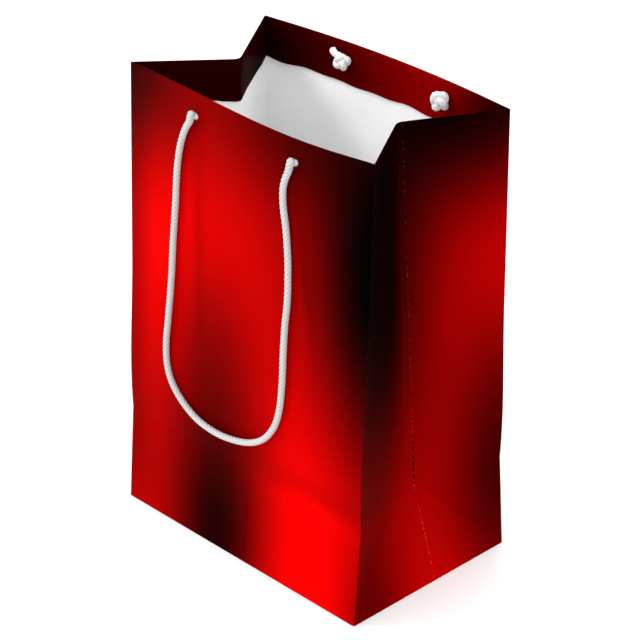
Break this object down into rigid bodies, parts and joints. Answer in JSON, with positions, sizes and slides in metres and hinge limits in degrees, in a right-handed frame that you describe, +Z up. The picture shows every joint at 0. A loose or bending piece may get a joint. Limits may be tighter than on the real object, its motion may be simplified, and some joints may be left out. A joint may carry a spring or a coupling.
{
  "type": "gift bag",
  "caption": "Upright paper gift bag with folded side gussets, glossy red to black shaded print, white inside, and white twisted cord handles knotted inside the rim.",
  "frame": {"origin": "middle of the base, on the surface that the bag stands on", "axes": "+Z up to the mouth, -Y out of the front wall, X along the long walls"},
  "size_m": [0.2, 0.1308, 0.29],
  "materials": {
    "printed_paper": "gloss laminated print outside, uncoated white inside",
    "printed_hem": "gloss laminated print, turned in at the rim",
    "card_strip": "grey pressed card",
    "base_board": "white-faced board, matt",
    "cord": "white twisted cord, matt"
  },
  "bodies": {
    "base": {"bottom_front_flap": "printed_paper", "bottom_back_flap": "printed_paper", "left_bottom_tuck": "printed_paper", "right_bottom_tuck": "printed_paper", "base_board": "base_board", "front_lower_strip": "printed_paper", "back_lower_strip": "printed_paper", "left_base_triangle": "printed_paper", "right_base_triangle": "printed_paper", "left_front_corner_fold": "printed_paper", "left_back_corner_fold": "printed_paper", "right_front_corner_fold": "printed_paper", "right_back_corner_fold": "printed_paper"},
    "front_wall": {"front_panel": "printed_paper", "front_hem": "printed_hem", "front_card": "card_strip", "front_left_knot": "cord", "front_right_knot": "cord", "side_seam_flap": "printed_paper"},
    "back_wall": {"back_panel": "printed_paper", "back_hem": "printed_hem", "back_card": "card_strip", "back_left_knot": "cord", "back_right_knot": "cord"},
    "left_front_fold": {"left_front_gusset": "printed_paper", "left_front_gusset_hem": "printed_hem"},
    "left_back_fold": {"left_back_gusset": "printed_paper", "left_back_gusset_hem": "printed_hem"},
    "right_front_fold": {"right_front_gusset": "printed_paper", "right_front_gusset_hem": "printed_hem"},
    "right_back_fold": {"right_back_gusset": "printed_paper", "right_back_gusset_hem": "printed_hem"},
    "front_handle": {"front_cord": "cord"},
    "back_handle": {"back_cord": "cord"}
  },
  "joints": [
    {"name": "front_wall_tilt", "type": "hinge", "parent": "base", "child": "front_wall", "pos_m": [0, -0.059, 0.0638], "axis": [-1, 0, 0], "range_deg": [-1, 7.5]},
    {"name": "back_wall_tilt", "type": "hinge", "parent": "base", "child": "back_wall", "pos_m": [0, 0.059, 0.0638], "axis": [1, 0, 0], "range_deg": [-1, 7.5]},
    {"name": "left_front_crease", "type": "hinge", "parent": "front_wall", "child": "left_front_fold", "pos_m": [-0.1, -0.059, 0.0638], "axis": [0, -0.0387, -0.9993], "range_deg": [-5, 37.5]},
    {"name": "right_front_crease", "type": "hinge", "parent": "front_wall", "child": "right_front_fold", "pos_m": [0.1, -0.059, 0.0638], "axis": [0, 0.0387, 0.9993], "range_deg": [-5, 37.5]},
    {"name": "left_back_crease", "type": "hinge", "parent": "back_wall", "child": "left_back_fold", "pos_m": [-0.1, 0.059, 0.0638], "axis": [0, -0.0122, 0.9999], "range_deg": [-5, 37.5]},
    {"name": "right_back_crease", "type": "hinge", "parent": "back_wall", "child": "right_back_fold", "pos_m": [0.1, 0.059, 0.0638], "axis": [0, 0.0122, -0.9999], "range_deg": [-5, 37.5]},
    {"name": "front_handle_swing", "type": "hinge", "parent": "front_wall", "child": "front_handle", "pos_m": [0, -0.05888, 0.276], "axis": [-1, 0, 0], "range_deg": [0, 175]},
    {"name": "back_handle_swing", "type": "hinge", "parent": "back_wall", "child": "back_handle", "pos_m": [0, 0.06451, 0.276], "axis": [1, 0, 0], "range_deg": [0, 175]}
  ],
  "couplings": [
    {"joint": "back_wall_tilt", "follows": "front_wall_tilt", "ratio": 1},
    {"joint": "left_front_crease", "follows": "front_wall_tilt", "ratio": 5},
    {"joint": "right_front_crease", "follows": "front_wall_tilt", "ratio": 5},
    {"joint": "left_back_crease", "follows": "front_wall_tilt", "ratio": 5},
    {"joint": "right_back_crease", "follows": "front_wall_tilt", "ratio": 5}
  ]
}
